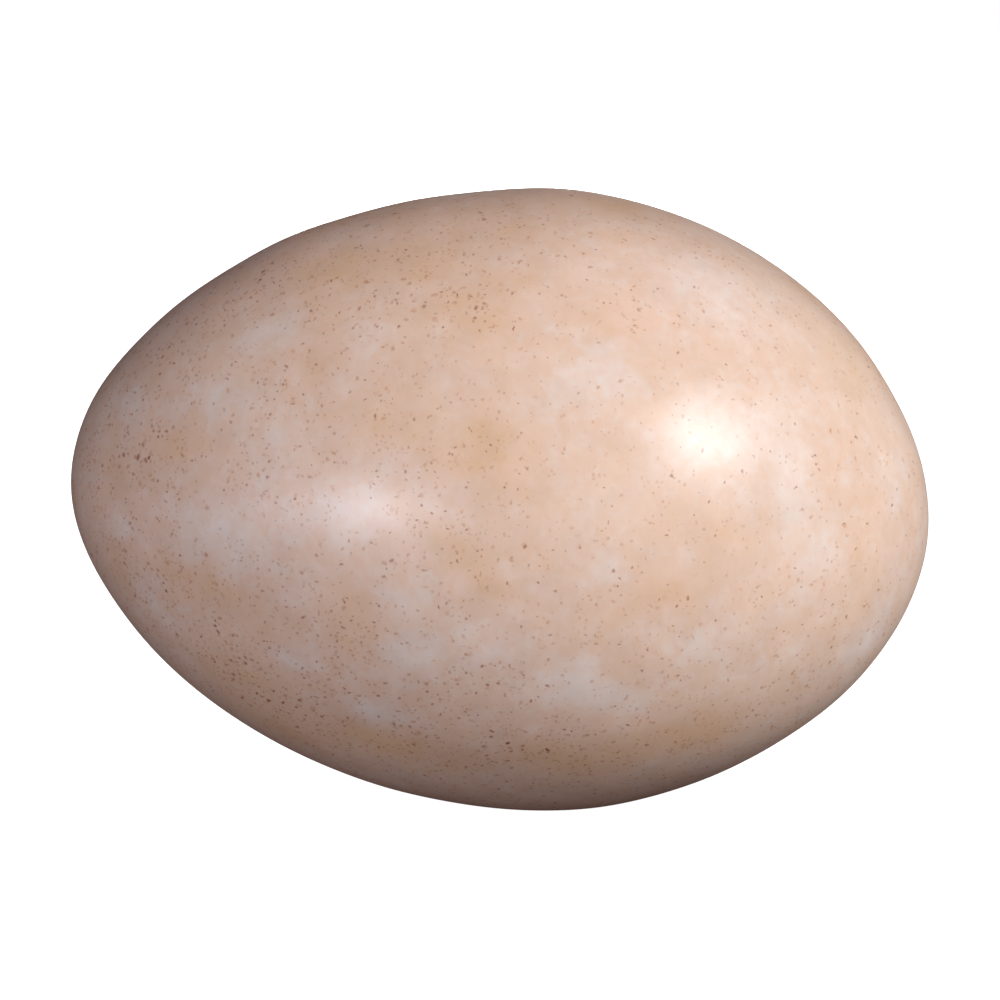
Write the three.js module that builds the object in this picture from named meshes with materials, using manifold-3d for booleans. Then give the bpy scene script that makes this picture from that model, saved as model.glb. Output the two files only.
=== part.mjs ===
// A fossil egg: one solid ovoid of stone that lies on its side on a small flat spot.
// Millimetres, +Z up. The long axis runs along X, with the blunt end at +X.
// The origin is on the surface that the egg lies on, under the middle of its box.

import * as THREE from "three";
import { mergeVertices } from "three/addons/utils/BufferGeometryUtils.js";
import Module from "manifold-3d";

// Driving dimensions

const LENGTH = 250; // from the pointed pole to the blunt pole
const MID_BREADTH = 180.8; // across the egg at the middle of its length

// Shares of the breadth that the egg's own curve adds to an ellipsoid: t runs from
// -1 at the pointed pole to +1 at the blunt pole.
const BLUNT_END = 0.079; // times t, fuller towards the blunt pole
const BOTH_ENDS = -0.086; // times t squared, slimmer towards both poles
const FAR_ENDS = -0.029; // times t cubed, takes a little back from the blunt pole

const POLE_SHIFT = 2.85; // the blunt pole lies this far below the axis, the other above it
const LEAN_DEGREES = 1.97; // how far the axis dips towards the blunt end
const SPOT_DEPTH = 1.5; // how much lower the egg would reach without its flat spot

const FACETS_AROUND = 72;
const FACETS_ALONG = 52;

const SHELL_COLOUR = 0xe2c6b1; // pale warm buff
const SHELL_ROUGHNESS = 0.35;

// The egg's curve

// How far the egg's radius at t departs from an ellipsoid's, as a factor.
function swell(t) {
  return 1 + BLUNT_END * t + BOTH_ENDS * t ** 2 + FAR_ENDS * t ** 3;
}

// A unit sphere with its poles on X, drawn out along the egg's curve and leaned.
function eggGeometry() {
  const geometry = new THREE.SphereGeometry(1, FACETS_AROUND, FACETS_ALONG);
  geometry.rotateZ(-Math.PI / 2);
  const position = geometry.getAttribute("position");
  const point = new THREE.Vector3();
  for (let i = 0; i < position.count; i++) {
    point.fromBufferAttribute(position, i);
    const t = point.x;
    const radius = (MID_BREADTH / 2) * swell(t);
    const rise = -POLE_SHIFT * t ** 3;
    position.setXYZ(i, (LENGTH / 2) * t, radius * point.y, radius * point.z + rise);
  }
  return geometry.rotateY(THREE.MathUtils.degToRad(LEAN_DEGREES));
}

// The flat spot

const wasm = await Module();
wasm.setup();

// A closed three.js geometry as a solid that can be cut.
function solidOf(geometry) {
  const bare = geometry.clone();
  bare.deleteAttribute("normal");
  bare.deleteAttribute("uv");
  const merged = mergeVertices(bare);
  return new wasm.Manifold(
    new wasm.Mesh({
      numProp: 3,
      vertProperties: merged.getAttribute("position").array,
      triVerts: new Uint32Array(merged.index.array),
    }),
  );
}

// A cut solid as a three.js geometry.
function geometryOf(solid) {
  const mesh = solid.getMesh();
  const geometry = new THREE.BufferGeometry();
  geometry.setAttribute("position", new THREE.BufferAttribute(mesh.vertProperties, 3));
  geometry.setIndex(new THREE.BufferAttribute(mesh.triVerts, 1));
  return geometry;
}

// A block whose top face is where the flat spot is cut.
function groundUnder(geometry) {
  geometry.computeBoundingBox();
  const top = geometry.boundingBox.min.z + SPOT_DEPTH;
  return new THREE.BoxGeometry(LENGTH, LENGTH, LENGTH).translate(0, 0, top - LENGTH / 2);
}

// Moves a geometry so that the middle of its box's underside is the origin.
function standOnOrigin(geometry) {
  geometry.computeBoundingBox();
  const middle = geometry.boundingBox.getCenter(new THREE.Vector3());
  return geometry.translate(-middle.x, -middle.y, -geometry.boundingBox.min.z);
}

// The part

const whole = eggGeometry();
const cut = solidOf(whole).subtract(solidOf(groundUnder(whole)));

const egg = new THREE.Mesh(
  standOnOrigin(geometryOf(cut)),
  new THREE.MeshStandardMaterial({
    color: SHELL_COLOUR,
    roughness: SHELL_ROUGHNESS,
    metalness: 0,
  }),
);
egg.name = "egg";

const fossilEgg = new THREE.Group();
fossilEgg.add(egg);

export default fossilEgg;
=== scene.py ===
"""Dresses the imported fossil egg: a polished, speckled shell of buff stone on a pale studio floor.

Laid out as an add-on and run as a script. Metres, +Z up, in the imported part's own frame: the long
axis runs along X with the blunt end at +X, and the front faces -Y.
"""

import math

import bmesh
import bpy
from bpy.props import FloatProperty, FloatVectorProperty, IntProperty, PointerProperty
from mathutils import Matrix, Vector, noise
from mathutils.bvhtree import BVHTree


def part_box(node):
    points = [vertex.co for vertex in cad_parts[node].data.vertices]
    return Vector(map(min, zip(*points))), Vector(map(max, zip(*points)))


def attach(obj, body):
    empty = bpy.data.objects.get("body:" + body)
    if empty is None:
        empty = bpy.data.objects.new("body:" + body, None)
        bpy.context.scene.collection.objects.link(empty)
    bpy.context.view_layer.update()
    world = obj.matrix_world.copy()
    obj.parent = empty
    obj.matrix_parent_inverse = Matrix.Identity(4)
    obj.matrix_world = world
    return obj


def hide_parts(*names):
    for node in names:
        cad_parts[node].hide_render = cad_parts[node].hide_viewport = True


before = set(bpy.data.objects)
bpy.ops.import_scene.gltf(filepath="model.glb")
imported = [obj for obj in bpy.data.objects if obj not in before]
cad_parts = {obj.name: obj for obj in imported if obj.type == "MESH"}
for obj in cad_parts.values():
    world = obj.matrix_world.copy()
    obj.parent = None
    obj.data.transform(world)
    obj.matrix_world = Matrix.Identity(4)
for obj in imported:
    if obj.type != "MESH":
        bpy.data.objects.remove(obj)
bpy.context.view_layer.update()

bl_info = {
    "name": "Fossil Egg",
    "version": (1, 0, 0),
    "blender": (4, 5, 0),
    "location": "View3D > Sidebar > Fossil Egg",
    "description": "Makes a polished, speckled fossil egg and a pale studio to see it in",
    "category": "Object",
}

MM = 0.001  # metres in a millimetre

EGG_LOW, EGG_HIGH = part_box("egg")
EGG_MIDDLE = (EGG_LOW + EGG_HIGH) / 2

# The egg's own curve, as shares of its breadth: t runs from -1 at the pointed pole to +1 at the
# blunt pole.
BLUNT_END = 0.079  # times t, fuller towards the blunt pole
BOTH_ENDS = -0.086  # times t squared, slimmer towards both poles
FAR_ENDS = -0.029  # times t cubed, takes a little back from the blunt pole

# Unevenness of the shell: how wide the swells are and how far they stand out
SWELLS_MM = ((60.0, 0.30), (24.0, 0.07))
# Soft lumps and hollows round the front outline: the bearing of each in degrees, with the blunt end
# at 0 and the top at 90, and how far it stands out in millimetres
OUTLINE_LUMPS = (
    (130, 0.73),
    (157, -0.61),
    (95, -0.44),
    (78, 0.32),
    (15, -0.50),
    (-5, 0.32),
    (-30, 0.29),
    (-72, 0.32),
    (-100, -0.23),
    (-165, -0.35),
    (180, 0.47),
)
LUMP_REACH = 15 * MM  # along the outline
LUMP_DEPTH = 45 * MM  # to the front and the back

# Soft patches on the front of the shell, in millimetres across and up from its middle as the front
# view shows it: place, half width, half height, turn in degrees, and how pale (above 0) or tan
# (below 0) the patch is. A few of them are painted light: one pale patch paints the glow round the
# key light's highlight, and the tan along the underside is partly a painted warm shade.
FRONT_PATCHES = (
    (-78, -10, 23, 15, 0, 0.80),
    (-46, -2, 15, 13, 0, 0.50),
    (-40, -13, 8, 7, 0, 0.50),
    (-78, 28, 18, 8, 12, 0.60),
    (-66, 46, 12, 6, 18, 0.75),
    (-106, 26, 9, 5, 20, 0.70),
    (-64, 13, 15, 10, 0, 0.50),
    (-108, -9, 9, 5, 0, 0.60),
    (-98, -33, 11, 5, -35, 0.45),
    (-55, -24, 6, 9, 0, 0.45),
    (-57, -46, 10, 6, 0, 0.85),
    (-26, -43, 13, 7, 0, 0.90),
    (-35, -61, 12, 5, -14, 0.80),
    (-26, -29, 9, 7, 0, 0.45),
    (-38, 45, 9, 7, 0, 0.35),
    (-44, 75, 13, 5, 15, 0.40),
    (-6, -38, 19, 9, 0, 0.50),
    (-6, -49, 14, 6, 0, 0.40),
    (21, -49, 8, 7, 0, 0.85),
    (26, -56, 22, 7, -13, 1.00),
    (58, -42, 13, 9, 0, 0.55),
    (30, -20, 7, 6, 0, 0.45),
    (25, 33, 17, 10, 18, 0.65),
    (61, 58, 25, 11, -35, 0.65),
    (81, 12, 9, 24, 5, 0.60),
    (87, -12, 13, 15, -20, 0.50),
    (110, -31, 8, 11, 20, 0.60),
    (103, -43, 14, 6, 38, 0.60),
    # Painted highlight: this pale patch paints the glow round the key light's reflection into the
    # shell's colour
    (62, 22, 24, 16, 0, 0.35),
    (-33, 2, 6, 9, 0, 0.40),
    (-28, -51, 16, 5, 0, 0.35),
    (112, 4, 5, 10, 0, 0.40),
    (-46, 65, 17, 7, 14, -0.80),
    (-20, 72, 13, 8, 0, -0.45),
    (3, 60, 11, 7, 0, -0.55),
    (-8, 51, 14, 6, -8, -0.75),
    (-47, 38, 7, 9, 0, -0.50),
    (-3, 13, 15, 11, 10, -0.95),
    (-28, 20, 17, 10, -20, -0.50),
    (28, 9, 10, 7, 0, -0.35),
    (28, 49, 13, 6, -8, -0.40),
    (-6, -20, 15, 6, -28, -0.90),
    (-41, -34, 8, 11, 0, -0.55),
    (47, -26, 17, 7, -8, -0.55),
    (31, -32, 9, 5, 0, -0.50),
    (58, -12, 22, 12, 0, -0.25),
    (-92, 13, 15, 6, 14, -0.60),
    (-110, 7, 11, 8, 0, -0.60),
    (-82, -26, 25, 6, -16, -0.70),
    (-73, -53, 19, 9, -26, -0.80),
    # This tan along the underside is partly the shell's own stain and partly a painted warm shade
    (-34, -70, 30, 7, -9, -1.15),
    (20, -74, 27, 8, 0, -1.10),
    (55, -67, 18, 9, 12, -1.10),
    (4, 2, 7, 6, 0, -0.40),
    (-18, -12, 7, 9, 0, -0.40),
    (4, 74, 10, 6, 0, -0.40),
    (104, -20, 6, 14, 10, -0.20),
    (99, 37, 10, 20, 24, -0.65),
    (84, -37, 7, 6, 0, -0.35),
    (-24, 63, 14, 6, 0, -0.60),
    (32, 84, 13, 5, -8, -0.90),
    (-110, -21, 8, 11, -20, -0.70),
    # Partly a painted warm shade along the underside, like the tan rows above
    (-63, -67, 20, 6, -26, -0.80),
)

# Where specks gather (above 0) or keep away (below 0) on the front, in the same way
SPECK_DRIFTS = (
    (-77, -45, 9, 15, 40, 1.9),
    (-104, -21, 9, 14, 0, 0.7),
    (-58, -60, 18, 8, -26, 0.8),
    (-102, 14, 15, 8, 10, 0.7),
    (-68, 61, 19, 8, 25, 0.7),
    (-13, 60, 16, 14, 0, 0.5),
    (-42, -34, 9, 10, 0, 0.6),
    (4, -47, 15, 8, 0, 0.4),
    (6, -70, 28, 9, 0, 0.4),
    (-15, -6, 8, 8, 0, 0.4),
    (-71, -12, 22, 9, 0, -0.4),
    (17, 33, 26, 15, 0, -0.4),
    (58, -21, 28, 14, 0, -0.4),
    (82, 20, 16, 22, 0, -0.3),
    (-46, 20, 16, 12, 0, -0.3),
)

PATCH_FADE = 1.35  # a patch has faded out at this many times its half width
PATCH_WAVES_MM = ((18, 3), (7, 2))  # how wide the waves of a patch's edge are, and how far they reach
PATCHES_END = 40 * MM  # how far back along Y the front's patches reach
BACK_STARTS = -30 * MM  # where along Y the clouds of the back begin to show
BACK_BLENDS = 60 * MM  # over what length they come in
BACK_CLOUD = 38 * MM  # how wide they are

# The mesh attributes that hold the painted patches and the painted drifts, and how strongly clouds
# show in each of them round the back: specks gather where the clouds are tan
PALENESS = "paleness"
SPECKLING = "speckling"
BACK_CLOUDS = {PALENESS: 1.2, SPECKLING: -0.6}
NOISE_SEED = 1  # keeps the waves of the patches' edges the same in each run

# Clouds that break up the patches: their size in millimetres, and how strongly they show
CLOUDS_MM = ((24.0, 0.5), (8.0, 1.5), (3.2, 1.2))

# Specks in millimetres: how far apart their cells lie, and how far the widest reach from their middle
FINE_SPECKS_MM = ((2.3, 0.86), (1.9, 0.68))
BOLD_SPECKS_MM = (2.1, 1.05)
FAINT_SPECKS_MM = (2.0, 0.95)
CURLED_SPECKS_MM = (3.4, 0.90)
SPECK_STRETCH = (1.0, 0.78, 1.0)  # draws them out a little across the width of the egg
STRONG_COVER = 0.75  # how much of the shell's colour a fine speck covers
BOLD_COVER = 1.3  # how much more a bold one covers
FAINT_COVER = 0.6

# Polish
ROUGHNESS_VARIES = 0.015  # either way
GRAIN_DEPTH = 0.006 * MM
SHELL_IOR = 1.5

# Camera: far off with a long lens, a little above the egg
SENSOR_WIDTH = 36.0
AIM_BELOW_MIDDLE = 0.88 * MM

# Socket numbers of the Mix node when it mixes colours
MIX_FACTOR, MIX_A, MIX_B, MIX_RESULT = 0, 6, 7, 2


def linear(hex_colour):
    """Turns an sRGB hex colour into the linear red, green, blue and alpha that sockets take."""
    shares = [int(hex_colour[i : i + 2], 16) / 255 for i in (1, 3, 5)]
    return tuple(s / 12.92 if s <= 0.04045 else ((s + 0.055) / 1.055) ** 2.4 for s in shares) + (1.0,)


class FossilEggShape(bpy.types.PropertyGroup):
    """Sizes of the egg"""

    breadth: FloatProperty(
        name="Breadth share",
        description="Breadth at the middle of the length, as a share of the length",
        default=0.7232,
        subtype="FACTOR",
    )
    pole_shift: FloatProperty(
        name="Pole shift",
        description="How far the blunt pole lies below the axis, as a share of the length",
        default=0.0114,
        subtype="FACTOR",
    )
    lean: FloatProperty(
        name="Lean",
        description="How far the axis dips towards the blunt end",
        default=math.radians(1.97),
        subtype="ANGLE",
        unit="ROTATION",
    )
    spot_depth: FloatProperty(
        name="Spot depth",
        description="How much lower the egg would reach without its flat spot",
        default=1.5 * MM,
        unit="LENGTH",
        subtype="DISTANCE",
    )
    rim: FloatProperty(
        name="Rim",
        description="Height over which the shell rounds into the flat spot",
        default=0.5 * MM,
        unit="LENGTH",
        subtype="DISTANCE",
    )
    cuts: IntProperty(
        name="Cuts",
        description="How often each side of the starting cube is cut",
        default=95,
        min=8,
        max=120,
    )


class FossilEggFinish(bpy.types.PropertyGroup):
    """Colours and gloss of the shell"""

    buff: FloatVectorProperty(
        name="Buff",
        description="The shell between its patches",
        default=linear("#e6c4ad"),
        size=4,
        subtype="COLOR",
    )
    # Tan is also laid along the underside, where it is partly a painted warm shade
    tan: FloatVectorProperty(
        name="Tan",
        description="Warm patches where iron has stained the shell",
        default=linear("#e2ba98"),
        size=4,
        subtype="COLOR",
    )
    pale: FloatVectorProperty(
        name="Pale",
        description="Pale patches, a little grey and lilac",
        default=linear("#ead6c9"),
        size=4,
        subtype="COLOR",
    )
    speck: FloatVectorProperty(
        name="Speck",
        description="The strong red-brown specks",
        default=linear("#984a26"),
        size=4,
        subtype="COLOR",
    )
    faint_speck: FloatVectorProperty(
        name="Faint speck",
        description="The faint orange-brown specks",
        default=linear("#c48259"),
        size=4,
        subtype="COLOR",
    )
    roughness: FloatProperty(
        name="Roughness",
        description="How dull the polish is",
        default=0.35,
        subtype="FACTOR",
        min=0.0,
        max=1.0,
    )


class FossilEggStage(bpy.types.PropertyGroup):
    """The studio round the egg"""

    elevation: FloatProperty(
        name="Camera elevation",
        description="How far the camera looks down on the egg",
        default=math.radians(10),
        subtype="ANGLE",
        unit="ROTATION",
    )
    distance: FloatProperty(
        name="Camera distance",
        description="From the camera to the middle of the egg",
        default=2.0,
        unit="LENGTH",
        subtype="DISTANCE",
    )
    frame_width: FloatProperty(
        name="Frame width",
        description="Width of the picture at the middle of the egg",
        default=291.2 * MM,
        unit="LENGTH",
        subtype="DISTANCE",
    )
    floor_size: FloatProperty(
        name="Floor",
        description="Side of the square floor",
        default=24.0,
        unit="LENGTH",
        subtype="DISTANCE",
    )


def view_axis(stage):
    """The direction from the egg to the camera."""
    return Vector((0.0, -math.cos(stage.elevation), math.sin(stage.elevation)))


def egg_point(direction, shape):
    """Moves a point of the unit sphere to the egg's surface, as shares of the egg's length."""
    t = direction.x
    swell = 1 + BLUNT_END * t + BOTH_ENDS * t**2 + FAR_ENDS * t**3
    across = shape.breadth / 2 * swell
    return Vector((t / 2, direction.y * across, direction.z * across - shape.pole_shift * t**3))


def rounded_floor(height, rim):
    """Lifts what reaches below the floor up to it, with a rim that rounds into the flat spot."""
    blend = max(rim - abs(height), 0.0) / rim
    return max(height, 0.0) + blend**2 * rim / 4


def outline_lump(point):
    """How far the soft lumps round the outline stand out at a point."""
    away = point - EGG_MIDDLE
    radius = math.hypot(away.x, away.z)
    bearing = math.degrees(math.atan2(away.z, away.x))
    height = 0.0
    for lump_bearing, stand_out in OUTLINE_LUMPS:
        along = math.radians((bearing - lump_bearing + 180) % 360 - 180) * radius
        height += stand_out * MM * math.exp(-((along / LUMP_REACH) ** 2) - (away.y / LUMP_DEPTH) ** 2)
    return height


def egg_mesh(shape):
    """A cube blown up to a ball, drawn out to the egg, and set down on its flat spot."""
    bm = bmesh.new()
    bmesh.ops.create_cube(bm, size=2.0)
    bmesh.ops.subdivide_edges(bm, edges=bm.edges[:], cuts=shape.cuts, use_grid_fill=True)
    for vert in bm.verts:
        even = Vector(math.tan(c * math.pi / 4) for c in vert.co)
        vert.co = egg_point(even.normalized(), shape)
    bmesh.ops.rotate(bm, verts=bm.verts[:], matrix=Matrix.Rotation(shape.lean, 3, "Y"))
    fill_box(bm, EGG_LOW - Vector((0, 0, shape.spot_depth)), EGG_HIGH)
    bm.normal_update()
    for vert in bm.verts:
        swells = [noise.noise(vert.co / (width * MM)) * rise * MM for width, rise in SWELLS_MM]
        vert.co += vert.normal * (sum(swells) + outline_lump(vert.co))
    fill_box(bm, EGG_LOW - Vector((0, 0, shape.spot_depth)), EGG_HIGH)
    for vert in bm.verts:
        vert.co.z = rounded_floor(vert.co.z, shape.rim)
    bmesh.ops.recalc_face_normals(bm, faces=bm.faces[:])
    for face in bm.faces:
        face.smooth = True
    return bm


def fill_box(bm, low, high):
    """Stretches and moves a mesh so that it just fills a box."""
    corners = [[pick(v.co[axis] for v in bm.verts) for axis in range(3)] for pick in (min, max)]
    mesh_low, mesh_high = (Vector(corner) for corner in corners)
    stretch = Vector((high[axis] - low[axis]) / (mesh_high[axis] - mesh_low[axis]) for axis in range(3))
    bmesh.ops.translate(bm, verts=bm.verts[:], vec=-mesh_low)
    bmesh.ops.scale(bm, verts=bm.verts[:], vec=stretch)
    bmesh.ops.translate(bm, verts=bm.verts[:], vec=low)


def add_node(tree, kind, inputs=None, **settings):
    """Adds a node, sets its settings, and gives each named input a value or a link."""
    node = tree.nodes.new("ShaderNode" + kind)
    for name, value in settings.items():
        setattr(node, name, value)
    for name, value in (inputs or {}).items():
        if isinstance(value, bpy.types.NodeSocket):
            tree.links.new(value, node.inputs[name])
        else:
            node.inputs[name].default_value = value
    return node


def per_metre(size_mm):
    """The texture scale at which one feature of a pattern is this wide."""
    return 1 / (size_mm * MM)


def reckon(tree, operation, *values):
    """Works out one number from others."""
    return add_node(tree, "Math", dict(enumerate(values)), operation=operation).outputs[0]


def spread(tree, value, old_ends, new_ends, **settings):
    """Maps a number from one range to another, and holds it at the ends."""
    ends = zip(("From Min", "From Max", "To Min", "To Max"), (*old_ends, *new_ends))
    return add_node(tree, "MapRange", {"Value": value, **dict(ends)}, **settings).outputs[0]


def cloud(tree, place, size_mm, detail, roughness=0.5):
    """A soft noise with features of this size."""
    inputs = {"Vector": place, "Scale": per_metre(size_mm), "Detail": detail, "Roughness": roughness}
    return add_node(tree, "TexNoise", inputs)


def lay_over(tree, share, under, over):
    """Lays a share of one colour over another."""
    inputs = {MIX_FACTOR: share, MIX_A: under, MIX_B: over}
    return add_node(tree, "Mix", inputs, data_type="RGBA").outputs[MIX_RESULT]


def push_about(tree, place, size_mm, reach_mm, detail):
    """Object coordinates pushed about by a noise, so that what they carry gets uneven edges."""
    noises = cloud(tree, place, size_mm, detail, 0.6).outputs["Color"]
    either_way = add_node(tree, "VectorMath", {0: noises, 1: (0.5, 0.5, 0.5)}, operation="SUBTRACT")
    push = add_node(
        tree, "VectorMath", {0: either_way.outputs[0], "Scale": 2 * reach_mm * MM}, operation="SCALE"
    )
    return add_node(tree, "VectorMath", {0: place, 1: push.outputs[0]}, operation="ADD").outputs[0]


def cloudy_paleness(tree, place):
    """How pale (above 0) or tan (below 0) the shell is: the painted patches, broken up by clouds."""
    total = add_node(tree, "Attribute", attribute_name=PALENESS).outputs["Fac"]
    cloudy = push_about(tree, place, 9.0, 3.5, 3.0)
    for size_mm, strength in CLOUDS_MM:
        level = reckon(tree, "SUBTRACT", cloud(tree, cloudy, size_mm, 2.0, 0.6).outputs["Fac"], 0.5)
        total = reckon(tree, "MULTIPLY_ADD", level, strength, total)
    return total


def speck_layer(tree, place, sizes_mm, share):
    """Specks scattered through space: a cell each, of which a share is kept, soft at the edge."""
    spacing_mm, radius_mm = sizes_mm
    widest = radius_mm / spacing_mm
    cell = add_node(tree, "TexVoronoi", {"Vector": place, "Scale": per_metre(spacing_mm)})
    chance = add_node(tree, "SeparateColor", {0: cell.outputs["Color"]}).outputs
    # The widest and the darkest specks are rare
    radius = spread(tree, reckon(tree, "POWER", chance["Red"], 1.8), (0.0, 1.0), (0.6 * widest, widest))
    depth = spread(tree, reckon(tree, "POWER", chance["Blue"], 1.6), (0.0, 1.0), (0.35, 1.0))
    inside = reckon(tree, "DIVIDE", cell.outputs["Distance"], radius)
    spot = spread(tree, inside, (1.0, 0.25), (0.0, 1.0), interpolation_type="SMOOTHSTEP")
    kept = reckon(tree, "LESS_THAN", chance["Green"], share)
    return reckon(tree, "MULTIPLY", reckon(tree, "MULTIPLY", spot, kept), depth)


def speck_shares(tree, place, paleness):
    """What shares of the faint, fine and bold specks show. They gather in loose drifts, most of them
    in the tan, and thicken towards the pointed end and the underside."""
    small_drifts = spread(tree, cloud(tree, place, 7.0, 2.0).outputs["Fac"], (0.35, 0.65), (0.1, 1.25))
    painted_drifts = add_node(tree, "Attribute", attribute_name=SPECKLING).outputs["Fac"]
    wide_drifts = spread(tree, painted_drifts, (-0.7, 2.0), (0.2, 2.9))
    drifts = reckon(tree, "MULTIPLY", small_drifts, wide_drifts)
    where = add_node(tree, "SeparateXYZ", {0: place}).outputs
    pointed = spread(tree, where["X"], (-110 * MM, 30 * MM), (1.15, 0.6))
    under = spread(tree, where["Z"], (25 * MM, 80 * MM), (0.5, 0.0))
    thick = reckon(tree, "ADD", pointed, under)
    stained = spread(tree, paleness, (-0.8, 0.8), (1.3, 0.5))
    faint = reckon(tree, "MULTIPLY", reckon(tree, "MULTIPLY", thick, drifts), stained)
    fine = reckon(tree, "MULTIPLY", faint, thick)
    # Bold specks stand only in the thick of the painted drifts
    bold = reckon(tree, "MULTIPLY", painted_drifts, small_drifts)
    return faint, fine, bold


def specks(tree, place, paleness):
    """How much the faint specks and the strong specks cover."""
    faint_share, fine_share, bold_share = speck_shares(tree, place, paleness)
    drawn_out = add_node(tree, "VectorMath", {0: place, 1: SPECK_STRETCH}, operation="MULTIPLY")
    wavy = push_about(tree, drawn_out.outputs[0], 2.4, 1.0, 1.0)
    curled = push_about(tree, drawn_out.outputs[0], 1.3, 0.8, 0.0)
    plain = speck_layer(tree, wavy, FAINT_SPECKS_MM, faint_share)
    curls = speck_layer(tree, curled, CURLED_SPECKS_MM, faint_share)
    faint = reckon(tree, "MAXIMUM", plain, curls)
    fine_layers = [speck_layer(tree, wavy, sizes_mm, fine_share) for sizes_mm in FINE_SPECKS_MM]
    fine = reckon(tree, "MAXIMUM", *fine_layers)
    bold = reckon(tree, "MULTIPLY", speck_layer(tree, wavy, BOLD_SPECKS_MM, bold_share), BOLD_COVER)
    strong = reckon(tree, "MAXIMUM", fine, bold)
    return reckon(tree, "MULTIPLY", faint, FAINT_COVER), reckon(tree, "MULTIPLY", strong, STRONG_COVER)


def polished_fossil_eggshell(finish):
    """Calcite eggshell turned to stone and polished: buff with cloudy pale and tan patches, fine
    red-brown specks that thicken towards the pointed end, and a satin gloss."""
    material = bpy.data.materials.new("polished_fossil_eggshell")
    material.use_nodes = True
    tree = material.node_tree
    shader = tree.nodes["Principled BSDF"]
    place = add_node(tree, "TexCoord").outputs["Object"]

    paleness = cloudy_paleness(tree, place)
    ramp = add_node(tree, "ValToRGB", {"Fac": spread(tree, paleness, (-1.0, 1.0), (0.0, 1.0))})
    ramp.color_ramp.elements[0].color = finish.tan
    ramp.color_ramp.elements[1].color = finish.pale
    ramp.color_ramp.elements.new(0.5).color = finish.buff
    faint, strong = specks(tree, place, paleness)
    freckled = lay_over(tree, faint, ramp.outputs["Color"], finish.faint_speck)
    speckled = lay_over(tree, strong, freckled, finish.speck)
    shade = spread(tree, cloud(tree, place, 11.0, 4.0).outputs["Fac"], (0.25, 0.75), (0.95, 1.05))
    shaded = add_node(tree, "HueSaturation", {"Color": speckled, "Value": shade})
    tree.links.new(shaded.outputs[0], shader.inputs["Base Color"])

    glossy, dull = finish.roughness - ROUGHNESS_VARIES, finish.roughness + ROUGHNESS_VARIES
    wear = spread(tree, cloud(tree, place, 14.0, 4.0).outputs["Fac"], (0.3, 0.7), (glossy, dull))
    tree.links.new(wear, shader.inputs["Roughness"])
    # The polish leaves a faint unevenness, a few thousandths of a millimetre deep
    grain = cloud(tree, place, 1.8, 2.0).outputs["Fac"]
    bump = add_node(tree, "Bump", {"Height": grain, "Strength": 1.0, "Distance": GRAIN_DEPTH})
    tree.links.new(bump.outputs[0], shader.inputs["Normal"])
    shader.inputs["IOR"].default_value = SHELL_IOR
    return material


def show_and_ride(name, bm, material):
    """Puts a finished mesh in the scene as the egg, with its place in its mesh."""
    mesh = bpy.data.meshes.new(name)
    bm.to_mesh(mesh)
    mesh.materials.append(material)
    piece = bpy.data.objects.new(name, mesh)
    bpy.context.scene.collection.objects.link(piece)
    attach(piece, "root")
    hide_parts("egg")
    return piece


def front_spots(bm, stage, patches):
    """Finds where each front patch lies on the shell."""
    tree = BVHTree.FromBMesh(bm)
    axis = view_axis(stage)
    right = Vector((1, 0, 0))
    up = axis.cross(right)
    spots = []
    for across, rise, *look in patches:
        start = EGG_MIDDLE + right * across * MM + up * rise * MM + axis
        centre = tree.ray_cast(start, -axis)[0]
        if centre is None:
            raise RuntimeError(f"the patch at {across}, {rise} misses the shell")
        spots.append((centre, look))
    return spots


def patch_at(point, centre, half_width, half_height, turn, strength):
    """What one patch adds at a point: all of its strength in its middle, fading to its edge."""
    away = Matrix.Rotation(math.radians(turn), 3, "Y") @ (point - centre)
    reach = Vector((half_width, max(half_width, half_height), half_height)) * PATCH_FADE * MM
    share = max(1 - Vector(a / r for a, r in zip(away, reach)).length, 0.0)
    return strength * share**2 * (3 - 2 * share)


def paint_patches(bm, attribute, spots):
    """Writes one attribute of the shell: the front's patches, and clouds round the back."""
    layer = bm.verts.layers.float.new(attribute)
    for vert in bm.verts:
        point = vert.co.copy()
        for width, reach in PATCH_WAVES_MM:
            point += noise.noise_vector(vert.co / (width * MM)) * reach * MM
        front = sum(patch_at(point, centre, *look) for centre, look in spots if point.y < PATCHES_END)
        back = min(max((point.y - BACK_STARTS) / BACK_BLENDS, 0.0), 1.0)
        back_clouds = noise.fractal(point / BACK_CLOUD, 1.0, 2.0, 3)
        vert[layer] = front + BACK_CLOUDS[attribute] * back * back_clouds


class FOSSIL_EGG_OT_shell(bpy.types.Operator):
    """Make the egg's shell, with its flat spot and its finish"""

    bl_idname = "fossil_egg.shell"
    bl_label = "Make Shell"

    def execute(self, context):
        scene = context.scene
        noise.seed_set(NOISE_SEED)
        bm = egg_mesh(scene.fossil_egg_shape)
        for attribute, patches in ((PALENESS, FRONT_PATCHES), (SPECKLING, SPECK_DRIFTS)):
            paint_patches(bm, attribute, front_spots(bm, scene.fossil_egg_stage, patches))
        material = polished_fossil_eggshell(scene.fossil_egg_finish)
        show_and_ride("fossil_egg_shell", bm, material)
        bm.free()
        return {"FINISHED"}


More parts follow.
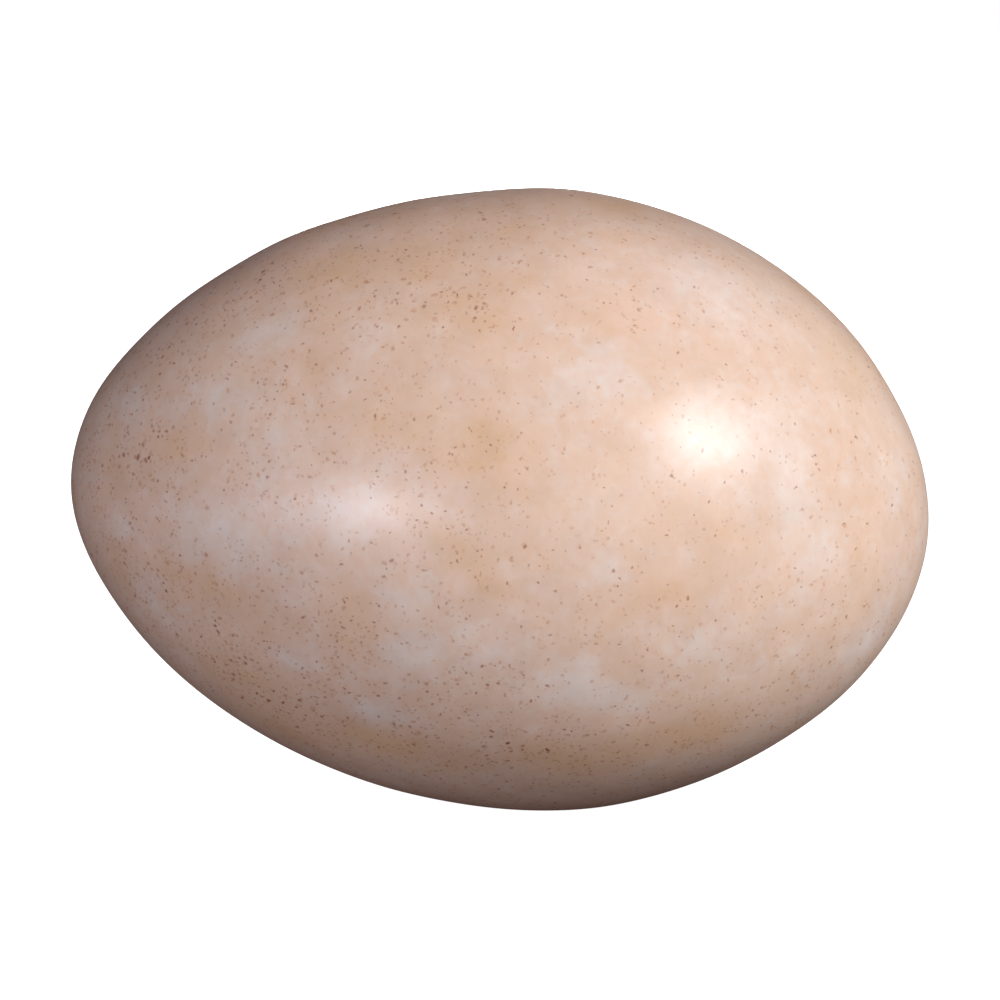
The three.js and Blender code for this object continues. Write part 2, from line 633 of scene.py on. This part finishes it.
# Lights: name, bearing to the right of the camera and elevation in degrees, distance, width and
# height in metres, strength in watts, colour
LIGHTS = (
    ("key", 51.0, 27.4, 1.4, 0.44, 0.44, 13.6, "#f8fdff"),
    ("fill", -30.3, 3.8, 1.4, 0.09, 0.22, 5.3, "#f5f5ff"),
    ("front", 20.0, 6.0, 2.6, 1.20, 1.20, 10.5, "#ffffff"),
    ("top", 10.0, 75.0, 1.6, 1.50, 1.50, 2.1, "#ffe9d0"),
    ("top_back", 120.0, 58.0, 1.6, 1.20, 1.20, 4.6, "#ffe9ee"),
    ("back", 130.0, 20.0, 1.6, 1.20, 1.20, 2.3, "#d7f9ff"),
    ("low_left", -45.0, 2.0, 1.6, 0.90, 0.16, 4.2, "#e6ecff"),
    ("card", 70.0, -12.0, 0.32, 0.30, 0.04, 0.18, "#eaf1ff"),
    ("rear", 180.0, 3.0, 2.0, 0.60, 0.60, 32.0, "#ffffff"),
)


def studio_light(name, bearing, elevation, distance, width, height, watts, colour):
    """A soft box that faces the middle of the egg."""
    lamp = bpy.data.lights.new(name, "AREA")
    lamp.shape = "ELLIPSE"
    lamp.size = width
    lamp.size_y = height
    lamp.energy = watts
    lamp.color = linear(colour)[:3]
    turn, rise = math.radians(bearing), math.radians(elevation)
    level = Vector((math.sin(turn), -math.cos(turn), 0.0))
    towards = level * math.cos(rise) + Vector((0.0, 0.0, math.sin(rise)))
    light = bpy.data.objects.new(name, lamp)
    light.location = EGG_MIDDLE + towards * distance
    light.rotation_euler = towards.to_track_quat("Z", "Y").to_euler()
    light.visible_camera = False
    # The card and the rear light only brighten the shade, without a glint of their own
    light.visible_glossy = name not in ("card", "rear")
    bpy.context.scene.collection.objects.link(light)


def show_camera(tree, output, seen, unseen):
    """Shows one shader to the camera, and lights the egg by another."""
    path = add_node(tree, "LightPath")
    either = add_node(tree, "MixShader", {0: path.outputs["Is Camera Ray"], 1: unseen, 2: seen})
    tree.links.new(either.outputs[0], tree.nodes[output].inputs["Surface"])


def pale_floor(size):
    """A matt pale floor that glows a little, so that it stays near white round the egg."""
    bm = bmesh.new()
    bmesh.ops.create_grid(bm, x_segments=1, y_segments=1, size=size / 2)
    mesh = bpy.data.meshes.new("floor")
    bm.to_mesh(mesh)
    bm.free()
    material = bpy.data.materials.new("matt_pale_floor")
    material.use_nodes = True
    tree = material.node_tree
    shader = tree.nodes["Principled BSDF"]
    shader.inputs["Base Color"].default_value = linear("#e8e8e8")
    shader.inputs["Roughness"].default_value = 0.9
    shader.inputs["Emission Color"].default_value = linear("#ffffff")
    shader.inputs["Emission Strength"].default_value = 0.96
    dim = add_node(tree, "Emission", {"Color": linear("#ffc0b4"), "Strength": 0.043})
    show_camera(tree, "Material Output", shader.outputs[0], dim.outputs[0])
    mesh.materials.append(material)
    floor = bpy.data.objects.new("floor", mesh)
    bpy.context.scene.collection.objects.link(floor)


def studio_air(ambient, strength):
    """A world that looks white to the camera and lights the egg only dimly."""
    world = bpy.data.worlds.new("studio")
    world.use_nodes = True
    tree = world.node_tree
    dim = tree.nodes["Background"]
    dim.inputs["Color"].default_value = linear(ambient)
    dim.inputs["Strength"].default_value = strength
    white = add_node(tree, "Background", {"Color": linear("#ffffff"), "Strength": 1.0})
    show_camera(tree, "World Output", white.outputs[0], dim.outputs[0])
    bpy.context.scene.world = world


def front_camera(stage):
    """A long lens that looks at the front of the egg from a little above."""
    data = bpy.data.cameras.new("camera")
    data.sensor_width = SENSOR_WIDTH
    data.lens = SENSOR_WIDTH * stage.distance / stage.frame_width
    data.dof.use_dof = False
    camera = bpy.data.objects.new("camera", data)
    axis = view_axis(stage)
    up = axis.cross(Vector((1, 0, 0)))
    camera.location = EGG_MIDDLE + axis * stage.distance - up * AIM_BELOW_MIDDLE
    camera.rotation_euler = axis.to_track_quat("Z", "Y").to_euler()
    bpy.context.scene.collection.objects.link(camera)
    bpy.context.scene.camera = camera


class FOSSIL_EGG_OT_stage(bpy.types.Operator):
    """Make the floor, the lights and the camera"""

    bl_idname = "fossil_egg.stage"
    bl_label = "Make Stage"

    def execute(self, context):
        stage = context.scene.fossil_egg_stage
        front_camera(stage)
        pale_floor(stage.floor_size)
        studio_air("#5a78ff", 0.02)
        for light in LIGHTS:
            studio_light(*light)
        context.scene.view_settings.view_transform = "Standard"
        return {"FINISHED"}


class FOSSIL_EGG_PT_panel(bpy.types.Panel):
    """Lists the egg's steps and what can be changed"""

    bl_idname = "FOSSIL_EGG_PT_panel"
    bl_label = "Fossil Egg"
    bl_space_type = "VIEW_3D"
    bl_region_type = "UI"
    bl_category = "Fossil Egg"

    def draw(self, context):
        for group in ("shape", "finish", "stage"):
            values = getattr(context.scene, "fossil_egg_" + group)
            box = self.layout.box()
            for name in values.__annotations__:
                box.prop(values, name)
        self.layout.operator(FOSSIL_EGG_OT_shell.bl_idname)
        self.layout.operator(FOSSIL_EGG_OT_stage.bl_idname)


GROUPS = {
    "fossil_egg_shape": FossilEggShape,
    "fossil_egg_finish": FossilEggFinish,
    "fossil_egg_stage": FossilEggStage,
}
CLASSES = (*GROUPS.values(), FOSSIL_EGG_OT_shell, FOSSIL_EGG_OT_stage, FOSSIL_EGG_PT_panel)


def register():
    for cls in CLASSES:
        bpy.utils.register_class(cls)
    for name, group in GROUPS.items():
        setattr(bpy.types.Scene, name, PointerProperty(type=group))


def unregister():
    for name in GROUPS:
        delattr(bpy.types.Scene, name)
    for cls in reversed(CLASSES):
        bpy.utils.unregister_class(cls)


def main():
    """Makes the egg and its stage."""
    register()
    bpy.ops.fossil_egg.shell()
    bpy.ops.fossil_egg.stage()


if __name__ == "__main__":
    main()
